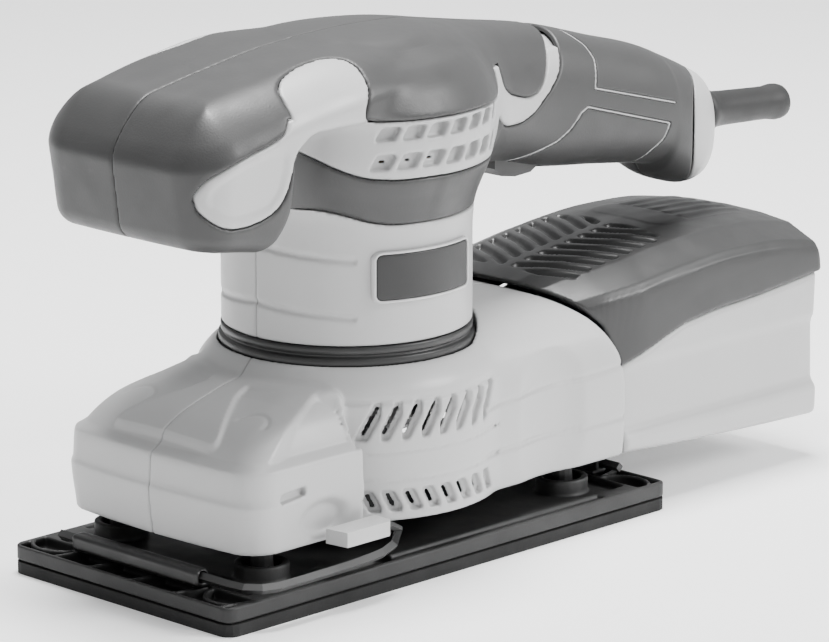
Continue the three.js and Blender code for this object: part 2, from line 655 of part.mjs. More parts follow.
const TRIGGER_OUTLINE = [
  [56.2, 114], [56.2, 106], [59, 103.4], [65, 102.4], [72, 102.8], [75.8, 105], [75.8, 114],
];
piece('trigger', prismY(TRIGGER_OUTLINE, -TRIGGER.half, TRIGGER.half), DARK_PLASTIC);
piece('suppression_capacitor', turnedY([[0, -6], [6, -6], [6, 6], [0, 6]], 92, 128, 16), DARK_PLASTIC);
piece('cord_clamp', box([126, 136], [-11, 11], [113.2, 116.4]), BLACK_PLASTIC);

SCREW_PLACES.forEach(([x, z], i) => {
  const screw = turnedY([[0, -8], [SCREW_RADIUS, -8], [SCREW_RADIUS, 10.8], [3, 10.8], [3, 13], [0, 13]], x, z, 10);
  piece(`housing_screw_${i + 1}`, screw, STEEL);
});

// ---------------------------------------------------------------- dust box

const boxFront = SHROUD_REAR + 0.6;
const BOX_SECTION = [
  [-36.4, 13], [-38.8, 15], [-39.4, 22], [-37.6, 25], [-37.2, 47], [-38.4, 54], [-38.8, 62],
  [38.8, 62], [38.4, 54], [37.2, 47], [37.6, 25], [39.4, 22], [38.8, 15], [36.4, 13],
];
const BOX_OUTLINE = [
  [boxFront, 18], [BOX_REAR, 12.4], [BOX_REAR, 60], [142, 57.2], [124, 56.2], [109, 54.4],
  [99, 51.4], [90, 48.2], [boxFront, 45],
];
const LID_TOP = [
  [60, 70.8, 30], [68, 73, 33], [78, 74.8, 36.6], [92, 76.6, 39], [110, 78.8, 39.4], [130, 80, 39.6],
  [150, 79.4, 39.8], [165, 77.4, 39.8], [BOX_REAR + 1.4, 75.4, 39.6],
];

function dustBoxBody() {
  const outer = prismX(BOX_SECTION, boxFront, BOX_REAR).intersect(prismY(BOX_OUTLINE, -60, 60));
  const hollow = box([boxFront + BOX_WALL, BOX_REAR - BOX_WALL], [-34.8, 34.8], [20.4, 70]);
  const spigotBore = turnedX([[0, 60], [PORT_RADIUS - 1.6, 60], [PORT_RADIUS - 1.6, 90], [0, 90]], 0, PORT_HEIGHT, 20);
  const spigot = turnedX([[0, 68], [PORT_RADIUS, 68], [PORT_RADIUS, 82], [0, 82]], 0, PORT_HEIGHT, 20);
  return cut(outer.subtract(hollow).add(spigot), [spigotBore]);
}
piece('dust_box_body', dustBoxBody(), SHELL);

// A crowned skin over the box, drawn in by inset.
function lidCrown(inset) {
  const sections = LID_TOP.map(([x, top, halfWidth], i) => {
    const last = i === LID_TOP.length - 1;
    const along = i === 0 ? x + inset : last ? x - inset : x;
    const points = [[-1, 30], [-1, -12], [-0.94, -6], [-0.72, -2.2], [-0.36, -0.4], [0, 0]];
    const ring = points.map(([across, down]) => [across * (halfWidth - inset), down > 0 ? down : top + down - inset]);
    const mirrored = ring.slice(0, -1).reverse().map(([y, z]) => [-y, z]);
    return [...ring, ...mirrored].reverse().map(([y, z]) => new THREE.Vector3(along, y, z));
  });
  return solid(new LoftGeometry(sections, { capStart: true, capEnd: true }));
}

function dustBoxLid() {
  const under = BOX_OUTLINE.slice(2).map(([x, z]) => [x, z + GAP]);
  const below = [[BOX_REAR + 4, 60.4], ...under, [80.6, 47.4], [75, 58.4], [66.6, 67], [59.6, 71.4], [50, 71], [50, 0], [180, 0]];
  const body = lidCrown(0).subtract(lidCrown(BOX_WALL));
  return body.subtract(prismY(below, -60, 60));
}
piece('dust_box_lid', dustBoxLid(), LID_PLASTIC);
piece('dust_filter', box([86, 166], [-33, 33], [47, 49.6]), FABRIC);

export default group;
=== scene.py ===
import math

import bpy
import numpy as np
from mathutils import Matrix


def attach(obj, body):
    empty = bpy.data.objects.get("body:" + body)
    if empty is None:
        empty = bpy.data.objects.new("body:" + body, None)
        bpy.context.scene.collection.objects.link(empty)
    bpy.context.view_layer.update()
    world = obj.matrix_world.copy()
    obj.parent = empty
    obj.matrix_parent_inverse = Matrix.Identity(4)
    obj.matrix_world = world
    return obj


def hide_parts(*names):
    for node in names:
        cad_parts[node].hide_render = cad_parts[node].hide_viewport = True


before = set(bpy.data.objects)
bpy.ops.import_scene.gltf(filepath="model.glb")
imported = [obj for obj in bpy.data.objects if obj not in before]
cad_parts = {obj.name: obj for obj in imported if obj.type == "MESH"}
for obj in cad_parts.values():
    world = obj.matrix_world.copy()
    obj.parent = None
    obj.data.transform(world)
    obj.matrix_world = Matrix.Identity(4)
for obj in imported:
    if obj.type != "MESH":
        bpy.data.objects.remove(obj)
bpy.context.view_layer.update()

import openvdb as vdb
from mathutils import Vector

MM = 0.001

# ---------------------------------------------------------------- camera

camera_data = bpy.data.cameras.new("camera")
camera_data.sensor_width = 36
camera_data.lens = 205.1
camera_data.clip_start = 0.05
camera = bpy.data.objects.new("camera", camera_data)
camera.location = (-0.9552, -0.9699, 0.4071)
camera.rotation_mode = "QUATERNION"
camera.rotation_quaternion = Vector((0.6910, 0.6812, -0.2421)).to_track_quat("-Z", "Y")
bpy.context.scene.collection.objects.link(camera)
bpy.context.scene.camera = camera

# ---------------------------------------------------------------- driving dimensions, in millimetres

FINE = 0.62  # spacing of the sampling grid for the large mouldings
FINER = 0.4  # and for the small ones

SEAM = 0.05  # each half stops this far short of the middle
WALL = 3.4
RUBBER = 1.4
GROOVE = 0.25  # gap round each rubber inlay
HANDLE_END = 156.8
CAP_FRONT = 145.4
CORD_HEIGHT = 108.5
COLLAR_LOW = 62.5
SHROUD_LOW = 18.5
SHROUD_WALL = 2.8
BOX_FRONT = 80.6
BOX_REAR = 172.0
BOX_WALL = 2.2
PLATEN_TOP = 8.7
ORBIT_RADIUS = 1.0
RIB_PLACES = (43, 24, 6, -12, -27)
LEG_PLACES = ((-64, -30), (-64, 30), (62, -30), (62, 30))
CLAMP_X = 84.0
CLAMP_Z = 12.2

# The rear handle and the crown over the motor: x, low, high, half width, squareness.
HANDLE_STATIONS = np.array([
    [-60, 101.8, 150.8, 39.1, 2.9],
    [-30, 100, 155.4, 39.7, 2.7],
    [0, 101, 157, 39.4, 2.6],
    [20, 105, 156.3, 35.5, 2.5],
    [36, 108.5, 154, 27, 2.4],
    [50, 108.4, 151.8, 20.9, 2.4],
    [76, 103.1, 147.6, 18, 2.4],
    [104, 99.8, 140.2, 18, 2.4],
    [120, 97.6, 136, 18.3, 2.4],
    [126.6, 96.4, 133.6, 18.2, 2.4],
    [129.4, 93, 132.4, 18, 2.4],
    [137, 89.4, 129.2, 17, 2.4],
    [145, 87.6, 125.6, 14.8, 2.4],
    [151, 88, 122.8, 11.8, 2.3],
    [156, 89.6, 119.2, 8.2, 2.2],
    [161, 92, 114, 4, 2],
], float)
# The palm grip's nose: x, low, height of the crease round its crown, high, half width.
NOSE_STATIONS = np.array([
    [-97, 107.4, 131.8, 143.4, 34.4],
    [-88, 107, 132.8, 145.6, 36.4],
    [-76, 105.8, 135.4, 147.8, 38],
    [-58, 103, 140.6, 151.2, 39.2],
    [-30, 100, 145, 155.4, 39.7],
    [0, 100, 147, 157, 39.7],
], float)
NOSE_FRONT = -92.8
NOSE_REAR = -56.0  # where the nose ends below the crown
NOSE_CORNER = 13.0
CROWN_REACH = 17.0  # how far in from the crease the crown reaches its full height
DRAFT = 0.13  # lean of the nose's sides towards its bottom

# The barrel round the motor: z, radius.
BARREL_STATIONS = np.array([
    [69, 37.3], [96, 37.3], [104, 37.8], [111, 39.6], [118, 42], [126, 42.8], [134, 42.8],
    [142, 39.6], [149, 33], [153, 22],
], float)

# Side outlines in X and Z of the rubber grips.
FRONT_GRIP = [
    (-99, 94), (-52, 94), (-52, 111.4), (-36, 110.3), (-29, 109), (-19, 104.4), (60, 103.4), (60, 118.4),
    (27, 118.8), (-20, 118.8), (-29, 120.8), (-37, 127), (-46, 131.5), (-52, 134), (-56.6, 134.6),
    (-58.2, 123), (-61.6, 117.4), (-67, 114.6), (-78.6, 113), (-85.4, 116.6), (-88.4, 122),
    (-87.4, 127), (-84, 130.4), (-76.5, 133.6), (-64, 136.8), (-60, 139.5), (-58.2, 144),
    (-58, 170), (-99, 170),
]
TOP_GRIP = [
    (-26, 170), (-26.5, 149), (-31, 141), (-29, 137), (-18.6, 135.8), (12, 135.4), (30, 134.6),
    (38, 133.4), (37.6, 140), (39, 147), (42, 152), (44, 170),
]
# Plan outline in X and distance from the seam of the shell that rises between nose and crown.
NECK = [
    (-57.6, 50), (-57.4, 33), (-55.4, 28.4), (-48, 25), (-38, 24), (-30, 26), (-26.4, 30), (-26.4, 50),
]
MIDDLE_GRIP = [
    (47, 164), (43, 150), (41, 139.4), (44.4, 133.6), (53, 130.2), (60, 129), (64.6, 131), (67.4, 135),
    (70.4, 141), (74, 145.4), (77, 150), (76, 164),
]
REAR_GRIP = [
    (81, 164), (80, 148), (78, 144.4), (76, 140), (74.2, 135.2), (70, 131), (65.4, 127.4), (59, 123),
    (51, 121.8), (44, 123.4), (40, 127.4), (37, 127.4), (37, 80), (170, 80), (170, 164),
]
# The finger rest on each side of the nose, inside the rubber.
FINGER_REST = [
    (-57, 134.6), (-58.2, 123), (-61.6, 117.4), (-67, 114.6), (-78.6, 113), (-85.4, 116.6), (-88.4, 122),
    (-87.4, 127), (-84, 130.4), (-76.5, 133.6), (-64, 136.8),
]
# Thin shell-coloured lines that show through the rear grip.
GRIP_LINES = [
    [(85, 150), (87, 144), (90.5, 140), (91.5, 136), (89.3, 127.7), (125.7, 118.2)],
    [(60, 108), (65.4, 110), (74.3, 113.2), (78.7, 116.3), (83, 121), (86, 122.4), (123.5, 112),
     (122, 107.3), (118.6, 103.4), (116, 96)],
]

BODY_VENTS = [
    {"first": 52, "step": 11, "count": 7, "centre": 132.4, "height": 4.2, "width": 6.2, "slant": 30},
    {"first": 54, "step": 11, "count": 7, "centre": 124.2, "height": 4.6, "width": 6.2, "slant": 30},
]
SHROUD_VENTS = [
    {"first": 70, "step": 8, "count": 8, "centre": 48.2, "height": 11, "width": 4.2, "slant": 30},
    {"first": 70, "step": 8, "count": 8, "centre": 24.4, "height": 6.5, "width": 4.2, "slant": -28},
]
TRIGGER_SLOT = ((55.4, -7.5, 80), (76.6, 7.5, 116))
SCREW_PLACES = [(-72, 118), (58, 140), (100, 118), (30, 146)]

# The nose of the shroud, upwards: z, front end, half width, corner radius.
FRONT_BLOCK = np.array([
    [14, -78.8, 40.6, 9], [18.5, -79, 40.8, 9], [32.6, -80.3, 41.6, 9], [33.8, -79.9, 41.3, 9],
    [42.4, -79.2, 40.9, 9], [43.4, -78.6, 40.4, 9], [48, -74.4, 38.6, 9.5], [52, -68, 36.6, 10],
    [56, -56, 33, 11], [59.2, -43, 28, 11], [61, -30, 22, 11],
], float)
BLOCK_REAR = -33.0
# Plan outlines in X and distance from the seam of the nose's raised panel and the facets beside it.
NOSE_PANEL = [(-74, -3), (-74, 20), (-72.6, 21), (-53, 8), (-20, 2), (-20, -3)]
NOSE_FACET = [(-79.6, -3), (-79.6, 36), (-74, 39), (-66, 37.6), (-50, 31), (-40, 27), (-20, 22), (-20, -3)]
SHROUD_STATIONS = np.array([
    [10, 46], [53.2, 46], [54.2, 44.9], [55.4, 44.9], [57.6, 44.2], [61.4, 41.4], [63.6, 39.2],
], float)
REAR_SECTION = [
    (-40, 10), (-40, 18.5), (-41, 26), (-41, 46), (-40.2, 54), (-37, 61), (-31, 66), (-21, 69), (0, 70),
    (21, 69), (31, 66), (37, 61), (40.2, 54), (41, 46), (41, 26), (40, 18.5), (40, 10),
]
REAR_OUTLINE = [(0, 10), (80, 10), (80, 46), (74.4, 57), (66, 66), (58, 71), (0, 72)]

BOX_SECTION = [
    (-36, 12), (-39.2, 14.6), (-39.4, 23), (-37.2, 25), (-36.8, 44), (-38, 46), (-38.6, 66),
    (38.6, 66), (38, 46), (36.8, 44), (37.2, 25), (39.4, 23), (39.2, 14.6), (36, 12),
]
BOX_OUTLINE = [
    (BOX_FRONT, 18), (BOX_REAR, 12.4), (BOX_REAR, 60), (142, 57.2), (124, 56.2), (109, 54.4),
    (99, 51.4), (90, 48.2), (BOX_FRONT, 45),
]
# The lid: x, crown height, half width.
LID_STATIONS = np.array([
    [56, 69.6, 29], [60, 70.8, 30], [68, 73, 33], [78, 74.8, 36.6], [92, 76.6, 39], [110, 78.8, 39.4],
    [130, 80, 39.6], [150, 79.4, 39.8], [165, 77.4, 39.8], [176, 75, 39.6],
], float)
# How far the lid's crown falls towards its sides: share of the half width, drop.
LID_CROWN = np.array([
    [0, 0], [0.36, -0.4], [0.66, -1.8], [0.7, -2.6], [0.92, -6.4], [0.97, -9], [1.05, -34],
], float)
RIB_STEP = 6.0
JAW_HALF_WIDTH = 27
RECESS_BACKING = 1.8  # extra shroud wall behind its recesses
VENT_SLIT_DEPTH = 9  # how far each vent's slit reaches into the wall

# ---------------------------------------------------------------- distance fields


class Space:
    """A grid of points between two corners. Shapes are fields on it: negative inside, in millimetres."""

    def __init__(self, low, high, pitch):
        self.pitch = pitch
        self.low = np.array(low, float) - 3 * pitch
        counts = np.ceil((np.array(high, float) + 3 * pitch - self.low) / pitch).astype(int) + 1
        axes = [(self.low[i] + pitch * np.arange(counts[i])).astype(np.float32) for i in range(3)]
        self.shape = tuple(counts)
        self.x = axes[0][:, None, None]
        self.y = axes[1][None, :, None]
        self.z = axes[2][None, None, :]


def smooth_min(a, b, reach):
    share = np.clip(0.5 + 0.5 * (b - a) / reach, 0, 1)
    return b + (a - b) * share - reach * share * (1 - share)


def smooth_max(a, b, reach):
    return -smooth_min(-a, -b, reach)


def round_max(a, b, radius):
    """Both shapes at once, with their shared edge rounded to a true radius."""
    outer = np.sqrt(np.maximum(a + radius, 0) ** 2 + np.maximum(b + radius, 0) ** 2)
    return outer + np.minimum(np.maximum(a, b) + radius, 0) - radius


def even(field, pitch):
    """The field scaled so that it falls and rises by a millimetre a millimetre."""
    slope = np.sqrt(sum(g * g for g in np.gradient(field, pitch)))
    return field / np.maximum(slope, 0.05)


def through(stations, column, at):
    """A smooth curve through one column of the stations, with no overshoot."""
    x, y = stations[:, 0], stations[:, column]
    step = np.diff(x)
    slope = np.diff(y) / step
    tangent = np.zeros_like(y)
    tangent[0], tangent[-1] = slope[0], slope[-1]
    before, after = slope[:-1], slope[1:]
    near, far = 2 * step[1:] + step[:-1], step[1:] + 2 * step[:-1]
    steady = before * after > 0
    safe = np.where(steady, before, 1), np.where(steady, after, 1)
    tangent[1:-1] = np.where(steady, (near + far) / (near / safe[0] + far / safe[1]), 0)
    i = np.clip(np.searchsorted(x, at) - 1, 0, len(x) - 2)
    t = np.clip((at - x[i]) / step[i], 0, 1)
    value = (
        (2 * t**3 - 3 * t**2 + 1) * y[i]
        + (t**3 - 2 * t**2 + t) * step[i] * tangent[i]
        + (3 * t**2 - 2 * t**3) * y[i + 1]
        + (t**3 - t**2) * step[i] * tangent[i + 1]
    )
    return value.astype(np.float32)


def softened(points, reach):
    """A closed outline with its corners cut twice, never further than reach along an edge."""
    for limit in (reach, reach * 0.45):
        corners = []
        for i, here in enumerate(points):
            here = np.array(here, float)
            for other in (points[i - 1], points[(i + 1) % len(points)]):
                way = np.array(other, float) - here
                length = np.linalg.norm(way)
                corners.append(tuple(here + way * min(0.3, limit / max(length, 1e-6))))
        points = corners
    return points


def line_distance(points, u, v, closed=False):
    """Distance in a plane to a line through the points."""
    nearest = np.full(np.broadcast(u, v).shape, 1e6, np.float32)
    ends = points[1:] + points[:1] if closed else points[1:]
    for (a, b), (c, d) in zip(points, ends):
        along_u, along_v = c - a, d - b
        share = ((u - a) * along_u + (v - b) * along_v) / max(along_u**2 + along_v**2, 1e-9)
        share = np.clip(share, 0, 1)
        nearest = np.minimum(nearest, np.hypot(u - a - share * along_u, v - b - share * along_v))
    return nearest


def outline(points, u, v):
    """Signed distance in a plane to a closed outline."""
    inside = np.zeros(np.broadcast(u, v).shape, bool)
    for (a, b), (c, d) in zip(points, points[1:] + points[:1]):
        crosses = (b > v) != (d > v)
        meets = a + (v - b) * (c - a) / (d - b if d != b else 1e-9)
        inside ^= crosses & (u < meets)
    distance = line_distance(points, u, v, closed=True)
    return np.where(inside, -distance, distance).astype(np.float32)


def block(space, low, high, radius=0.0):
    """A box between two corners, with rounded edges."""
    sides = []
    for values, a, b in zip((space.x, space.y, space.z), low, high):
        sides.append(np.abs(values - (a + b) / 2) - (b - a) / 2 + radius)
    outside = np.sqrt(sum(np.maximum(s, 0) ** 2 for s in sides))
    inside = np.minimum(np.maximum(np.maximum(sides[0], sides[1]), sides[2]), 0)
    return outside + inside - radius


def vents(space, rows, radius, recess):
    """Rows of slanting recesses in a turned wall, placed by bearing from the tail, each with a slit."""
    reach = np.hypot(space.x, space.y)
    bearing = np.degrees(np.arctan2(np.abs(space.y), space.x))
    slots = np.float32(1e3)
    for row in rows:
        number = np.clip(np.round((bearing - row["first"]) / row["step"]), 0, row["count"] - 1)
        across = np.radians(bearing - row["first"] - row["step"] * number) * radius
        up = space.z - row["centre"]
        lean = math.tan(math.radians(row["slant"]))
        side = (np.abs(across + up * lean) - row["width"] / 2) * math.cos(math.radians(row["slant"]))
        slot = round_max(side, np.abs(up) - row["height"] / 2, 0.7)
        slit = np.maximum(slot + 0.32 * row["width"], radius - VENT_SLIT_DEPTH - reach)
        slots = np.minimum(slots, np.minimum(np.maximum(slot, radius - recess - reach), slit))
    return slots


# ---------------------------------------------------------------- meshes from fields


def surface(name, space, field, mirrored=False):
    """The field's zero surface as a mesh object, in metres, mirrored to the other side on request."""
    values = np.ascontiguousarray(np.broadcast_to(field, space.shape), np.float32)
    grid = vdb.FloatGrid(4 * space.pitch)
    grid.copyFromArray(np.clip(values, -4 * space.pitch, 4 * space.pitch))
    points, _, quads = grid.convertToPolygons(isovalue=0.0, adaptivity=0.0)
    places = (points * space.pitch + space.low) * MM
    if mirrored:
        places[:, 1] *= -1
    else:
        quads = quads[:, ::-1]
    mesh = bpy.data.meshes.new(name)
    mesh.vertices.add(len(places))
    mesh.vertices.foreach_set("co", places.astype(np.float32).ravel())
    mesh.loops.add(quads.size)
    mesh.loops.foreach_set("vertex_index", quads.astype(np.int32).ravel())
    mesh.polygons.add(len(quads))
    mesh.polygons.foreach_set("loop_start", np.arange(0, quads.size, 4, dtype=np.int32))
    mesh.update(calc_edges=True)
    mesh.validate()
    mesh.shade_smooth()
    made = bpy.data.objects.new(name, mesh)
    bpy.context.scene.collection.objects.link(made)
    return made


def place(made, body, finish, nodes=()):
    """Gives a new piece its finish and its body, and hides the CAD nodes it stands for."""
    made.data.materials.append(finish)
    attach(made, body)
    if nodes:
        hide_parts(*nodes)
    return made


def turned(name, profile, segments=160, centre=(0, 0, 0), along="z"):
    """A closed ring mesh from [radius, height] points, shaded smooth."""
    count = len(profile)
    angles = np.arange(segments) / segments * 2 * math.pi
    places = []
    for radius, height in profile:
        for angle in angles:
            across, up = radius * math.cos(angle), radius * math.sin(angle)
            spot = (across, up, height) if along == "z" else (height, across, up)
            places.append(tuple((a + b) * MM for a, b in zip(spot, centre)))
    faces = []
    for i in range(count):
        j = (i + 1) % count
        for k in range(segments):
            m = (k + 1) % segments
            faces.append((i * segments + k, i * segments + m, j * segments + m, j * segments + k))
    mesh = bpy.data.meshes.new(name)
    mesh.from_pydata(places, [], faces)
    mesh.update()
    mesh.shade_smooth()
    made = bpy.data.objects.new(name, mesh)
    bpy.context.scene.collection.objects.link(made)
    return made


# ---------------------------------------------------------------- materials


def material(name, colour, roughness, metallic=0.0, grain=0.35, depth=0.25, wear=0.06, spread=0.08,
             sheen=0.0):
    """A moulded or machined surface: fine grain, broad patches of gloss and slightly paler edges."""
    made = bpy.data.materials.new(name)
    made.use_nodes = True
    nodes, links = made.node_tree.nodes, made.node_tree.links
    shader = nodes["Principled BSDF"]
    shader.inputs["Metallic"].default_value = metallic
    shader.inputs["Sheen Weight"].default_value = sheen
    spot = nodes.new("ShaderNodeTexCoord")

    def noise(size, detail):
        texture = nodes.new("ShaderNodeTexNoise")
        texture.inputs["Scale"].default_value = 1 / (size * MM)
        texture.inputs["Detail"].default_value = detail
        links.new(spot.outputs["Object"], texture.inputs["Vector"])
        return texture.outputs["Fac"]

    def spanned(source, low, high, start=0.3, end=0.7):
        mapped = nodes.new("ShaderNodeMapRange")
        mapped.inputs["From Min"].default_value = start
        mapped.inputs["From Max"].default_value = end
        mapped.inputs["To Min"].default_value = low
        mapped.inputs["To Max"].default_value = high
        links.new(source, mapped.inputs["Value"])
        return mapped.outputs["Result"]

    patches = noise(28, 3)
    shade = nodes.new("ShaderNodeMixRGB")
    shade.inputs["Color1"].default_value = (*[c * (1 - 0.35 * spread) for c in colour], 1)
    shade.inputs["Color2"].default_value = (*[min(c * (1 + 0.35 * spread), 1) for c in colour], 1)
    links.new(spanned(patches, 0, 1), shade.inputs["Fac"])
    edges = nodes.new("ShaderNodeNewGeometry")
    paler = nodes.new("ShaderNodeMixRGB")
    paler.inputs["Color2"].default_value = (*[min(c * 1.5 + 0.03, 1) for c in colour], 1)
    links.new(shade.outputs["Color"], paler.inputs["Color1"])
    links.new(spanned(edges.outputs["Pointiness"], 0, wear, 0.52, 0.6), paler.inputs["Fac"])
    links.new(paler.outputs["Color"], shader.inputs["Base Color"])

    sheen_patches = noise(9, 4)
    links.new(spanned(sheen_patches, roughness - 0.05, roughness + 0.07), shader.inputs["Roughness"])

    fine = nodes.new("ShaderNodeBump")
    fine.inputs["Strength"].default_value = depth
    fine.inputs["Distance"].default_value = 0.08 * MM
    links.new(noise(grain, 2), fine.inputs["Height"])
    links.new(fine.outputs["Normal"], shader.inputs["Normal"])
    return made


def grey(value, warm=0.0):
    return (value * (1 + warm), value, value * (1 - warm))


SHELL = material("light_shell", grey(0.44), 0.38, grain=0.5, depth=0.2, spread=0.05)
GRIP = material("grip_rubber", grey(0.032), 0.46, grain=0.6, depth=0.55, wear=0.12, spread=0.16, sheen=0.04)
DARK = material("dark_plastic", grey(0.014), 0.42, grain=0.5, depth=0.3, wear=0.15)
BLACK = material("black_plastic", grey(0.008), 0.55, grain=0.7, depth=0.5, wear=0.2, spread=0.2)
LID = material("lid_plastic", grey(0.028), 0.4, grain=0.45, depth=0.3, wear=0.12, spread=0.1)
PAD = material("pad_foam", grey(0.012), 0.93, grain=0.9, depth=1.0, spread=0.3)
RUBBER_BLACK = material("black_rubber", grey(0.01), 0.55, grain=0.5, depth=0.5, wear=0.15)
STEEL = material("steel", (0.56, 0.565, 0.575), 0.28, 1.0, grain=0.5, depth=0.2)
# Dark steel: on the clamp wires it is painted shade for the shadowed recesses they lie in; the jaws share
# it.
DARK_STEEL = material("dark_steel_painted_shade", grey(0.06), 0.45, 1.0, grain=0.5, depth=0.3, wear=0.5)
LAMINATION = material("lamination_steel", (0.3, 0.305, 0.32), 0.45, 1.0, grain=0.5, depth=0.6)
COPPER = material("copper", (0.62, 0.3, 0.15), 0.35, 1.0, grain=0.4, depth=0.6)
CARBON = material("carbon", grey(0.03), 0.65, grain=0.4, depth=0.5)
FABRIC = material("filter_fabric", grey(0.5, 0.03), 0.95, grain=0.5, depth=1.0, spread=0.2)
BORDER = material("badge_border", grey(0.55), 0.3, grain=0.5, depth=0.1)

FINISHES = {
    "light_shell": SHELL, "grip_rubber": GRIP, "black_rubber": RUBBER_BLACK, "dark_plastic": DARK,
    "black_plastic": BLACK, "lid_plastic": LID, "pad_foam": PAD, "filter_fabric": FABRIC,
    "lamination_steel": LAMINATION, "copper": COPPER, "carbon": CARBON, "steel": STEEL,
}

# ---------------------------------------------------------------- housing and grips


def rear_field(space):
    """The rear handle and crown: smooth oval sections, with a step down to the heel."""
    low, high, half, square = (through(HANDLE_STATIONS, c, space.x) for c in (1, 2, 3, 4))
    across = np.abs(space.y) / half
    up = np.abs(space.z - (low + high) / 2) / ((high - low) / 2)
    section = even((across**square + up**square) ** (1 / square) - 1, space.pitch)
    return round_max(section, space.x - HANDLE_END, 2.5)


def nose_field(space):
    """The palm grip's nose: upright sides that lean in downwards, a crease, and a low crown."""
    low, crease, high, half = (through(NOSE_STATIONS, c, space.x) for c in (1, 2, 3, 4))
    front = NOSE_FRONT + 0.0012 * space.y**2 - space.x
    plan = round_max(front, np.abs(space.y) - half, NOSE_CORNER)
    rise = 1 - (1 - np.clip(-plan / CROWN_REACH, 0, 1)) ** 2
    crown = (space.z - crease - (high - crease) * rise) * 0.9
    sides = plan + DRAFT * np.clip(crease - space.z, 0, 40)
    return round_max(round_max(sides, crown, 3.2), low - space.z, 5.0)


def handle_field(space):
    """Nose and rear handle, one running into the other over the motor."""
    share = np.clip((space.x + 40) / 40, 0, 1)
    share = share * share * (3 - 2 * share)
    return nose_field(space) * (1 - share) + rear_field(space) * share


def barrel_field(space):
    reach = np.hypot(space.x, space.y)
    wall = round_max(reach - through(BARREL_STATIONS, 1, space.z), BARREL_STATIONS[0, 0] - space.z, 0.8)
    return round_max(wall, space.z - BARREL_STATIONS[-1, 0], 2.0)


def housing_field(space):
    """The outside of housing and handle."""
    rear = NOSE_REAR - 0.045 * np.clip(118 - space.z, 0, 20) ** 2 - space.x
    hollow = round_max(round_max(rear, 20 - np.abs(space.y), 10.0), space.z - 137, 9.0)
    hollow = np.minimum(hollow, round_max(rear, space.z - 111, 6.0))
    handle = smooth_max(handle_field(space), -np.maximum(hollow, space.x), 2.5)
    return smooth_min(handle, barrel_field(space), 5.0)


def groove(surface_field, line, width, depth):
    """A shallow round-bottomed channel along a line, to take away from a surface."""
    return np.hypot(surface_field / depth, line / width) * min(width, depth) - min(width, depth)


def front_grip_region(space):
    """Where the front grip lies: its side outlines, less the shell's neck over the crown."""
    side = outline(softened(FRONT_GRIP, 4), space.x, space.z)
    side = np.minimum(side, outline(softened(TOP_GRIP, 4), space.x, space.z))
    neck = outline(softened(NECK, 3), space.x, np.abs(space.y))
    return np.minimum(side, np.maximum(-neck, 142 - space.z))


def dressed(space, outside):
    """The outside with the finger rest's rim and the two steps round the barrel's front."""
    x, y, z = space.x, space.y, space.z
    rest = outline(softened(FINGER_REST, 3), x, z)
    outside = outside + 0.8 * np.clip((-rest - 1.6) / 1.8, 0, 1) * (x < -50)
    bearing = np.degrees(np.arctan2(np.abs(y), x))
    for start in (97.0, 80.0):
        level = start - (180 - bearing) * 0.055
        line = np.maximum(np.abs(z - level), (132 - bearing) * 0.6)
        outside = np.maximum(outside, -groove(np.hypot(x, y) - 37.3, line, 1.0, 0.7))
    return outside


def cap_edge(space):
    """Distance behind the tail cap's front edge, which bows towards the nose at each side."""
    return space.x - (CAP_FRONT - 0.034 * space.y**2)


def screw_heads(space):
    heads = np.float32(1e3)
    for x, z in SCREW_PLACES:
        heads = np.minimum(heads, np.hypot(space.x - x, space.z - z) - 3.4)
    return np.maximum(heads, space.y + 10)


def both_sides(name, space, field, cad_name, finish):
    """The left moulding, and its mirror image with the screws' recesses."""
    made = surface(f"{name}_left_moulding", space, field)
    place(made, "housing", finish, [f"{cad_name}_left"])
    drilled = smooth_max(field, -screw_heads(space), 0.4)
    made = surface(f"{name}_right_moulding", space, drilled, True)
    place(made, "housing", finish, [f"{cad_name}_right"])


def shell_pieces():
    space = Space((-95, -46, 67), (159, 0.4, 160), FINE)
    outside = dressed(space, housing_field(space))
    wall = np.maximum(outside, -(outside + WALL))
    regions = [front_grip_region(space)]
    regions += [outline(softened(points, 4), space.x, space.z) for points in (MIDDLE_GRIP, REAR_GRIP)]
    for region in regions:
        pocket = np.maximum(region, -(outside + RUBBER + 0.6))
        wall = smooth_max(wall, -pocket, 0.4)
    wall = smooth_max(wall, -vents(space, BODY_VENTS, 42.6, 2.2), 0.4)
    wall = smooth_max(wall, cap_edge(space) + 0.2, 0.5)
    wall = np.maximum(wall, -block(space, TRIGGER_SLOT[0], TRIGGER_SLOT[1], 0.6))
    wall = smooth_max(wall, space.y + SEAM, 0.4)
    both_sides("shell", space, wall, "housing", SHELL)


def front_grips():
    space = Space((-95, -46, 99), (50, 0.4, 160), FINE)
    outside = dressed(space, housing_field(space))
    skin = smooth_max(outside, front_grip_region(space) + GROOVE, 0.9)
    skin = smooth_max(np.maximum(skin, -(outside + RUBBER)), space.y + SEAM, 0.4)
    both_sides("grip_front", space, skin, "grip_front", GRIP)


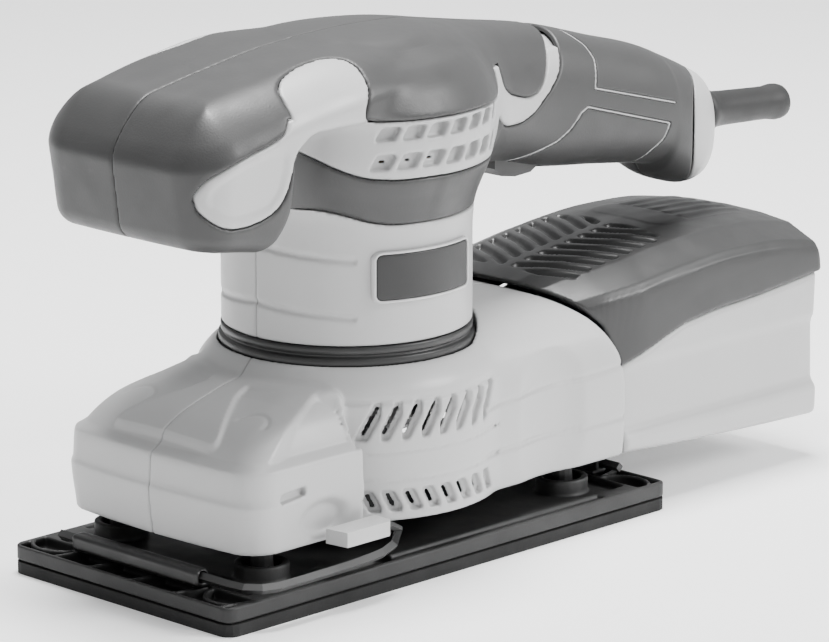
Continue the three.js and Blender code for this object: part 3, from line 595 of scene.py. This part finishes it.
def rear_grips():
    """The middle and rear grips, with the thin shell-coloured lines let into the rear one."""
    space = Space((36, -22, 84), (158, 0.4, 161), FINER)
    x, z = space.x, space.z
    outside = housing_field(space)
    lines = np.minimum(*[line_distance(points, x, z) for points in GRIP_LINES])
    slot = block(space, TRIGGER_SLOT[0], TRIGGER_SLOT[1], 0.6)
    for name, points in (("middle", MIDDLE_GRIP), ("rear", REAR_GRIP)):
        region = outline(softened(points, 4), x, z)
        skin = smooth_max(outside, region + GROOVE, 0.9)
        skin = np.maximum(skin, -(outside + RUBBER))
        if name == "rear":
            skin = smooth_max(skin, 0.36 - lines, 0.2)
            skin = smooth_max(skin, cap_edge(space) + 0.4, 0.5)
            skin = np.maximum(skin, -slot)
            inlay = np.maximum(np.maximum(outside + 0.1, lines - 0.3), -(outside + RUBBER))
            inlay = np.maximum(np.maximum(inlay, region + 1), np.maximum(space.y + SEAM, -slot))
        skin = smooth_max(skin, space.y + SEAM, 0.4)
        both_sides(f"grip_{name}", space, skin, f"grip_{name}", GRIP)
    for side, mirrored in (("left", False), ("right", True)):
        place(surface(f"grip_lines_{side}", space, inlay, mirrored), "housing", SHELL)


def tail_cap():
    space = Space((134, -21, 84), (160, 21, 128), FINER)
    outside = handle_field(space)
    wall = np.maximum(outside, -(outside + WALL))
    wall = smooth_max(wall, 0.2 - cap_edge(space), 0.9)
    bore = np.maximum(np.hypot(space.y, space.z - CORD_HEIGHT) - 6.4, 140 - space.x)
    wall = smooth_max(wall, -bore, 0.8)
    place(surface("tail_cap", space, wall), "housing", SHELL, ["handle_end_cap"])


GUARD_PROFILE = [
    (3.8, 140), (8, 140), (8, 143), (6.1, 143.4), (6.1, 156.4), (7.2, 156.9), (7.5, 157.8), (7.3, 159),
    (6.8, 160.4), (6.2, 162), (5.8, 164), (5.6, 168), (5.5, 176), (5.4, 184), (5.4, 189), (5.7, 191.4),
    (5.9, 193.2), (5.8, 194.8), (5.5, 196.1), (4.8, 196.9), (4.2, 197), (3.8, 196.8),
]
GUARD_DROOP = 0.06  # how far the guard sinks for each millimetre it stands out of the cap


def cord_sleeve():
    made = turned("cord_sleeve", GUARD_PROFILE, 64, (0, 0, CORD_HEIGHT), "x")
    for corner in made.data.vertices:
        corner.co.z -= GUARD_DROOP * max(corner.co.x - HANDLE_END * MM, 0)
    place(made, "housing", RUBBER_BLACK, ["cord_guard"])


COLLAR_PROFILE = [
    (32.4, 62.5), (37.6, 62.5), (38, 62.7), (38.2, 63.1), (38.2, 65.2), (38, 65.5), (37.3, 65.7),
    (37.1, 65.9), (37.1, 66.4), (37.3, 66.6), (37.5, 66.8), (37.5, 68.4), (37.3, 68.7), (36.9, 68.8),
    (32.4, 68.8),
]


def badge():
    """A blank plate that wraps the barrel's left side, with a thin pale border."""
    space = Space((-23, -40, 80), (17, -30, 99), FINER * 0.7)
    reach = np.hypot(space.x, space.y)
    window = round_max(np.abs(space.x + 3) - 18, np.abs(space.z - 89.4) - 7.6, 2.4)
    plate = smooth_max(np.maximum(37.5 - reach, window + 0.9), reach - 38.6, 0.3)
    rim = np.maximum(window, -(window + 0.75))
    border = smooth_max(np.maximum(37.5 - reach, rim), reach - 38.85, 0.3)
    place(surface("badge_plate", space, plate), "housing", DARK, ["name_plate"])
    place(surface("badge_rim", space, border), "housing", BORDER)


# ---------------------------------------------------------------- shroud


def front_block_field(space):
    """The shroud's front block: rounded corners, each height's outline taken from its stations."""
    front, half, corner = (through(FRONT_BLOCK, c, space.z) for c in (1, 2, 3))
    front = front + 0.0016 * space.y**2
    nose = round_max(front - space.x, np.abs(space.y) - half, corner)
    plan = even(round_max(nose, space.x - BLOCK_REAR, 2.0), space.pitch)
    return round_max(plan, space.z - 59.6, 2.0)


def shroud_field(space):
    x, y, z = space.x, space.y, space.z
    bell = np.hypot(x, y) - through(SHROUD_STATIONS, 1, z)
    bell = round_max(bell, z - COLLAR_LOW - 1.1, 1.0)
    rear = round_max(outline(softened(REAR_SECTION, 3), y, z), outline(softened(REAR_OUTLINE, 4), x, z), 3.0)
    rear = round_max(rear, -x, 1.0)
    return smooth_min(smooth_min(bell, front_block_field(space), 1.4), rear, 1.6)


def shroud_pieces():
    space = Space((-88, -48, 18), (82, 0.4, 73), FINE)
    x, y, z = space.x, space.y, space.z
    reach = np.hypot(x, y)
    plain = shroud_field(space)
    nose = np.clip((reach - 46.2) / 3, 0, 1) * (x < 0)
    slope = nose * np.clip((z - 43) / 1.5, 0, 1) * np.clip((60 - z) / 4, 0, 1)
    # A raised panel down the middle of the nose's slope, and a lower one outside each of its edges.
    panel = outline(softened(NOSE_PANEL, 1.5), x, np.abs(y))
    facet = outline(softened(NOSE_FACET, 3), x, np.abs(y))
    outside = plain + slope * (1.3 * np.clip(panel / 0.9, 0, 1) + 1.4 * np.clip(facet / 1.2, 0, 1))
    ring = np.abs(np.hypot(x + 63, np.abs(y) - 24) - 5.5)
    ring = np.maximum(ring, np.maximum(-62 - x, 46 - z))
    outside = np.maximum(outside, -groove(outside - 0.3, ring, 0.9, 0.8))
    # The side slot and scoop by the nose's rear corner.
    slot = round_max(np.abs(x + 62) - 5, np.abs(z - 34.5 - 0.1 * (x + 62)) - 1.3, 0.8)
    outside = np.maximum(outside, -np.maximum(slot, y + 39.2))
    scoop = np.hypot(x + 50, (z - 25.5) * 1.7) - 10.5
    outside = smooth_max(outside, -np.maximum(scoop + 1.5 * (y + 42), y + 39.5), 1.5)
    # The upright scoop in each side of the rear block, and the two parting lines across it.
    hollow = np.hypot(x - 46, np.abs(y) - 83) - 44.4
    outside = smooth_max(outside, -np.maximum(hollow, z - 57), 0.5)
    for level in (45.2 + 0.03 * (x - 18), 30.6):
        line = np.maximum(np.abs(z - level), 16 - x)
        outside = np.maximum(outside, -groove(outside - 0.2, line, 0.9, 0.8))
    # The rim line round the bell over its vents, and the plain band between the two rows.
    outside = np.maximum(outside, -groove(reach - 46, np.abs(z - 39.2), 0.5, 0.35))
    outside = np.maximum(outside, -groove(reach - 46, np.abs(z - 30.6), 0.5, 0.35))
    wall = np.maximum(outside, -(plain + SHROUD_WALL + RECESS_BACKING * np.maximum(nose, x > 24)))
    wall = smooth_max(wall, -np.maximum(reach - 38.6, 60 - z), 0.4)
    wall = np.maximum(wall, -np.maximum(reach - 33, 50 - z))
    wall = smooth_max(wall, SHROUD_LOW - z, 0.8)
    port = np.maximum(np.hypot(y, z - 38) - 11.3, 60 - x)
    wall = np.maximum(wall, -port)
    wall = smooth_max(wall, -vents(space, SHROUD_VENTS, 45.9, 1.9), 0.4)
    wall = smooth_max(wall, y + SEAM, 0.5)
    place(surface("skirt_left", space, wall), "housing", SHELL, ["shroud_left"])
    place(surface("skirt_right", space, wall, True), "housing", SHELL, ["shroud_right"])


# ---------------------------------------------------------------- dust box


def box_body():
    space = Space((67, -41, 10), (174, 41, 64), FINE)
    x, y, z = space.x, space.y, space.z
    section = outline(softened(BOX_SECTION, 0.8), y, z)
    side = outline(BOX_OUTLINE, x, z)
    outer = round_max(section, side, 2.2)
    inner = block(space, (BOX_FRONT + BOX_WALL, -34.8, 20.4), (BOX_REAR - BOX_WALL, 34.8, 80), 2.0)
    spigot = np.maximum(np.hypot(y, z - 38) - 11, np.maximum(68 - x, x - 82))
    bore = np.maximum(np.hypot(y, z - 38) - 9.4, x - 90)
    wall = smooth_max(outer, -inner, 0.6)
    wall = smooth_max(smooth_min(wall, spigot, 1.0), -bore, 0.4)
    place(surface("dust_box_moulding", space, wall), "dust_box", SHELL, ["dust_box_body"])


def lid_field(space):
    x, y, z = space.x, space.y, space.z
    half = through(LID_STATIONS, 2, x)
    fall = np.interp(np.abs(y) / half, LID_CROWN[:, 0], LID_CROWN[:, 1]).astype(np.float32)
    return even(z - through(LID_STATIONS, 1, x) - fall, space.pitch)


def box_lid():
    space = Space((58, -42, 43), (175, 42, 82), FINE)
    x, y, z = space.x, space.y, space.z
    plain = lid_field(space)
    # Slanting ribs in a sunk field at the front of the crown, and a raised middle behind.
    ribs = np.clip(np.cos((x - 0.5 * np.abs(y)) * 2 * math.pi / RIB_STEP) * 2.2 + 0.4, -1, 1)
    sunk = round_max(np.abs(x - 92) - 24, np.abs(y) - 24, 6.0)
    spine = np.clip((2.6 - np.abs(y)) / 0.8, 0, 1)
    crown = plain + 0.8 * np.maximum(1 - ribs, 0) * (1 - spine) * np.clip(-sunk / 0.9, 0, 1) * (z > 60)
    raised = round_max(np.abs(x - 142) - 21, np.abs(y) - 17, 6.0)
    bars = np.clip(np.cos(y * 2 * math.pi / RIB_STEP) * 2.2, -1, 1) * np.clip((x - 134) / 0.9, 0, 1)
    crown = crown - 0.5 * np.clip(-raised / 0.9, 0, 1) * (0.4 + 0.6 * bars) * (z > 60)
    below = [(180, 60.4)] + [(px, pz + 0.3) for px, pz in BOX_OUTLINE[2:]]
    below += [(80.6, 47.4), (75, 58.4), (66.6, 67), (59.6, 71.4), (50, 71), (50, 0), (180, 0)]
    under = outline(below, x, z)
    rear = x - 173.4
    sides = np.abs(y) - through(LID_STATIONS, 2, x)
    outer = round_max(round_max(crown, rear, 2.0), sides, 1.5)
    inner = np.maximum(np.maximum(plain + 1.4, rear), sides) + BOX_WALL
    wall = smooth_max(np.maximum(outer, -inner), -under, 0.5)
    place(surface("dust_box_cover", space, wall), "dust_lid", LID, ["dust_box_lid"])


# ---------------------------------------------------------------- platen and clamps


def platen_deck():
    """The black carrier plate: a ribbed deck with open cells at each end, leg sockets and a bearing hub."""
    space = Space((-93, -47, 3.9), (93, 47, 31), FINE)
    x, y, z = space.x, space.y, space.z
    end = np.abs(x)
    plan = round_max(end - 92.4, np.abs(y) - 46.4, 3.6)
    deck = round_max(plan, z - PLATEN_TOP, 0.5)
    # The cells behind each end rim, with slanting ribs and a curved one by each corner.
    ribs = np.float32(1e3)
    for place_y in RIB_PLACES:
        ribs = np.minimum(ribs, np.abs(y - place_y * np.sign(x) - 0.25 * (end - 86)) - 0.7)
    for side in (-1, 1):
        arc = np.abs(np.hypot(end - 80, y - side * 37) - 9.4) - 0.6
        ribs = np.minimum(ribs, arc)
    cells = round_max(np.abs(end - 86) - 5.2, np.abs(y) - 44.4, 0.8)
    cells = np.maximum(np.maximum(cells, -ribs), 5.2 - z)
    deck = smooth_max(deck, -cells, 0.4)
    channel = np.maximum(round_max(np.abs(end - 76) - 3.4, np.abs(y) - 40, 0.8), 6.6 - z)
    deck = smooth_max(deck, -channel, 0.4)
    # The shallow trough along each side, deeper under each clamp's tab.
    trough = np.maximum(round_max(np.abs(np.abs(y) - 42.6) - 1.4, end - 66, 0.8), 7.6 - z)
    well = round_max(np.abs(x * np.sign(y) - 38) - 15, np.abs(np.abs(y) - 40.5) - 4, 2.0)
    well = np.maximum(well, 5.4 - z)
    deck = smooth_max(deck, -np.minimum(trough, well), 0.5)
    for leg_x, leg_y in LEG_PLACES:
        reach = np.hypot(x - leg_x, y - leg_y)
        deck = smooth_min(deck, np.maximum(reach - 8, z - 13.6), 1.0)
        deck = smooth_max(deck, -np.maximum(reach - 6, 8 - z), 0.4)
    reach = np.hypot(x - ORBIT_RADIUS, y)
    deck = smooth_min(deck, np.maximum(reach - 17.5, z - 30.8), 1.0)
    bores = np.minimum(np.maximum(reach - 13.3, 21.3 - z), np.maximum(reach - 9, 12 - z))
    deck = np.maximum(np.maximum(deck, -bores), 3.95 - z)
    place(surface("platen_moulding", space, deck), "platen", BLACK, ["platen"])


def clamp_jaws():
    """The flat bar on each clamp's rod that holds the paper down, with a lip along its foot."""
    for end, way in (("front", -1), ("rear", 1)):
        near, far = sorted((way * 79, way * 87))
        space = Space((near, -27.2, 8.8), (far, 27.2, 15.2), FINER)
        inward = way * space.x
        near, far = sorted((way * 81.4, way * 86.6))
        bar = block(space, (near, -JAW_HALF_WIDTH, 9.2), (far, JAW_HALF_WIDTH, 14.4), 1.4)
        near, far = sorted((way * 79.4, way * 85))
        foot = block(space, (near, -JAW_HALF_WIDTH, 9.1), (far, JAW_HALF_WIDTH, 10.4), 0.5)
        bore = np.hypot(inward - CLAMP_X, space.z - CLAMP_Z) - 1.7
        jaw = smooth_max(smooth_min(bar, foot, 0.8), -bore, 0.2)
        made = surface(f"paper_jaw_{end}", space, jaw)
        place(made, f"clamp_{end}", DARK_STEEL, [f"clamp_jaw_{end}"])


# ---------------------------------------------------------------- everything that keeps its CAD solid


def finish_cad_nodes():
    """Rounds the edges of the CAD nodes still shown, and gives each the finish of its CAD material.

    The clamp wires get the dark steel, unlike the CAD's other steel: painted shade, as they lie in shadowed
    recesses by the platen.
    """
    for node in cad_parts.values():
        finish = FINISHES.get(node.data.materials[0].name.split(".")[0])
        if node.name.startswith("clamp_wire"):
            finish = DARK_STEEL
        if finish:
            node.data.materials.clear()
            node.data.materials.append(finish)
        if not node.hide_render:
            bevel = node.modifiers.new("edges", "BEVEL")
            bevel.width = 0.35 * MM
            bevel.segments = 2
            bevel.limit_method = "ANGLE"
            bevel.angle_limit = math.radians(35)


# ---------------------------------------------------------------- make the object

shell_pieces()
front_grips()
rear_grips()
tail_cap()
cord_sleeve()
place(turned("collar_ring", COLLAR_PROFILE), "housing", DARK, ["body_collar"])
badge()
shroud_pieces()
box_body()
box_lid()
platen_deck()
clamp_jaws()
finish_cad_nodes()

# ---------------------------------------------------------------- floor and light

floor_mesh = bpy.data.meshes.new("floor")
floor_mesh.from_pydata([(-4, -4, 0), (4, -4, 0), (4, 4, 0), (-4, 4, 0)], [], [(0, 1, 2, 3)])
floor = bpy.data.objects.new("floor", floor_mesh)
bpy.context.scene.collection.objects.link(floor)
paper = material("studio_floor", grey(0.9), 0.7, grain=2, depth=0.05, spread=0.02)
paper.node_tree.nodes["Principled BSDF"].inputs["Emission Color"].default_value = (1, 1, 1, 1)
paper.node_tree.nodes["Principled BSDF"].inputs["Emission Strength"].default_value = 0.2
floor.data.materials.append(paper)


def lamp(name, spot, target, size, power):
    data = bpy.data.lights.new(name, "AREA")
    data.shape = "DISK"
    data.size = size
    data.energy = power
    made = bpy.data.objects.new(name, data)
    made.location = spot
    made.rotation_mode = "QUATERNION"
    made.rotation_quaternion = (Vector(target) - Vector(spot)).to_track_quat("-Z", "Y")
    bpy.context.scene.collection.objects.link(made)


CENTRE = (0.03, 0, 0.08)
lamp("key", (0.8, -1.2, 0.9), CENTRE, 0.6, 26)
lamp("fill", (-1.5, -0.2, 0.7), CENTRE, 0.8, 1)
lamp("top", (0.15, 0.1, 1.3), CENTRE, 0.5, 40)

world = bpy.data.worlds.new("studio")
bpy.context.scene.world = world
world.use_nodes = True
sky = world.node_tree.nodes["Background"]
sky.inputs["Color"].default_value = (0.95, 0.96, 0.97, 1)
# The studio's walls are brighter above and behind the handle than beside the nose.
bearing = world.node_tree.nodes.new("ShaderNodeTexCoord")
towards = world.node_tree.nodes.new("ShaderNodeVectorMath")
towards.operation = "DOT_PRODUCT"
towards.inputs[1].default_value = (0.45, -0.1, 0.6)
world.node_tree.links.new(bearing.outputs["Generated"], towards.inputs[0])
brightness = world.node_tree.nodes.new("ShaderNodeMapRange")
brightness.inputs["From Min"].default_value = -0.5
brightness.inputs["From Max"].default_value = 0.75
brightness.inputs["To Min"].default_value = 0.08
brightness.inputs["To Max"].default_value = 1.0
world.node_tree.links.new(towards.outputs["Value"], brightness.inputs["Value"])
world.node_tree.links.new(brightness.outputs["Result"], sky.inputs["Strength"])
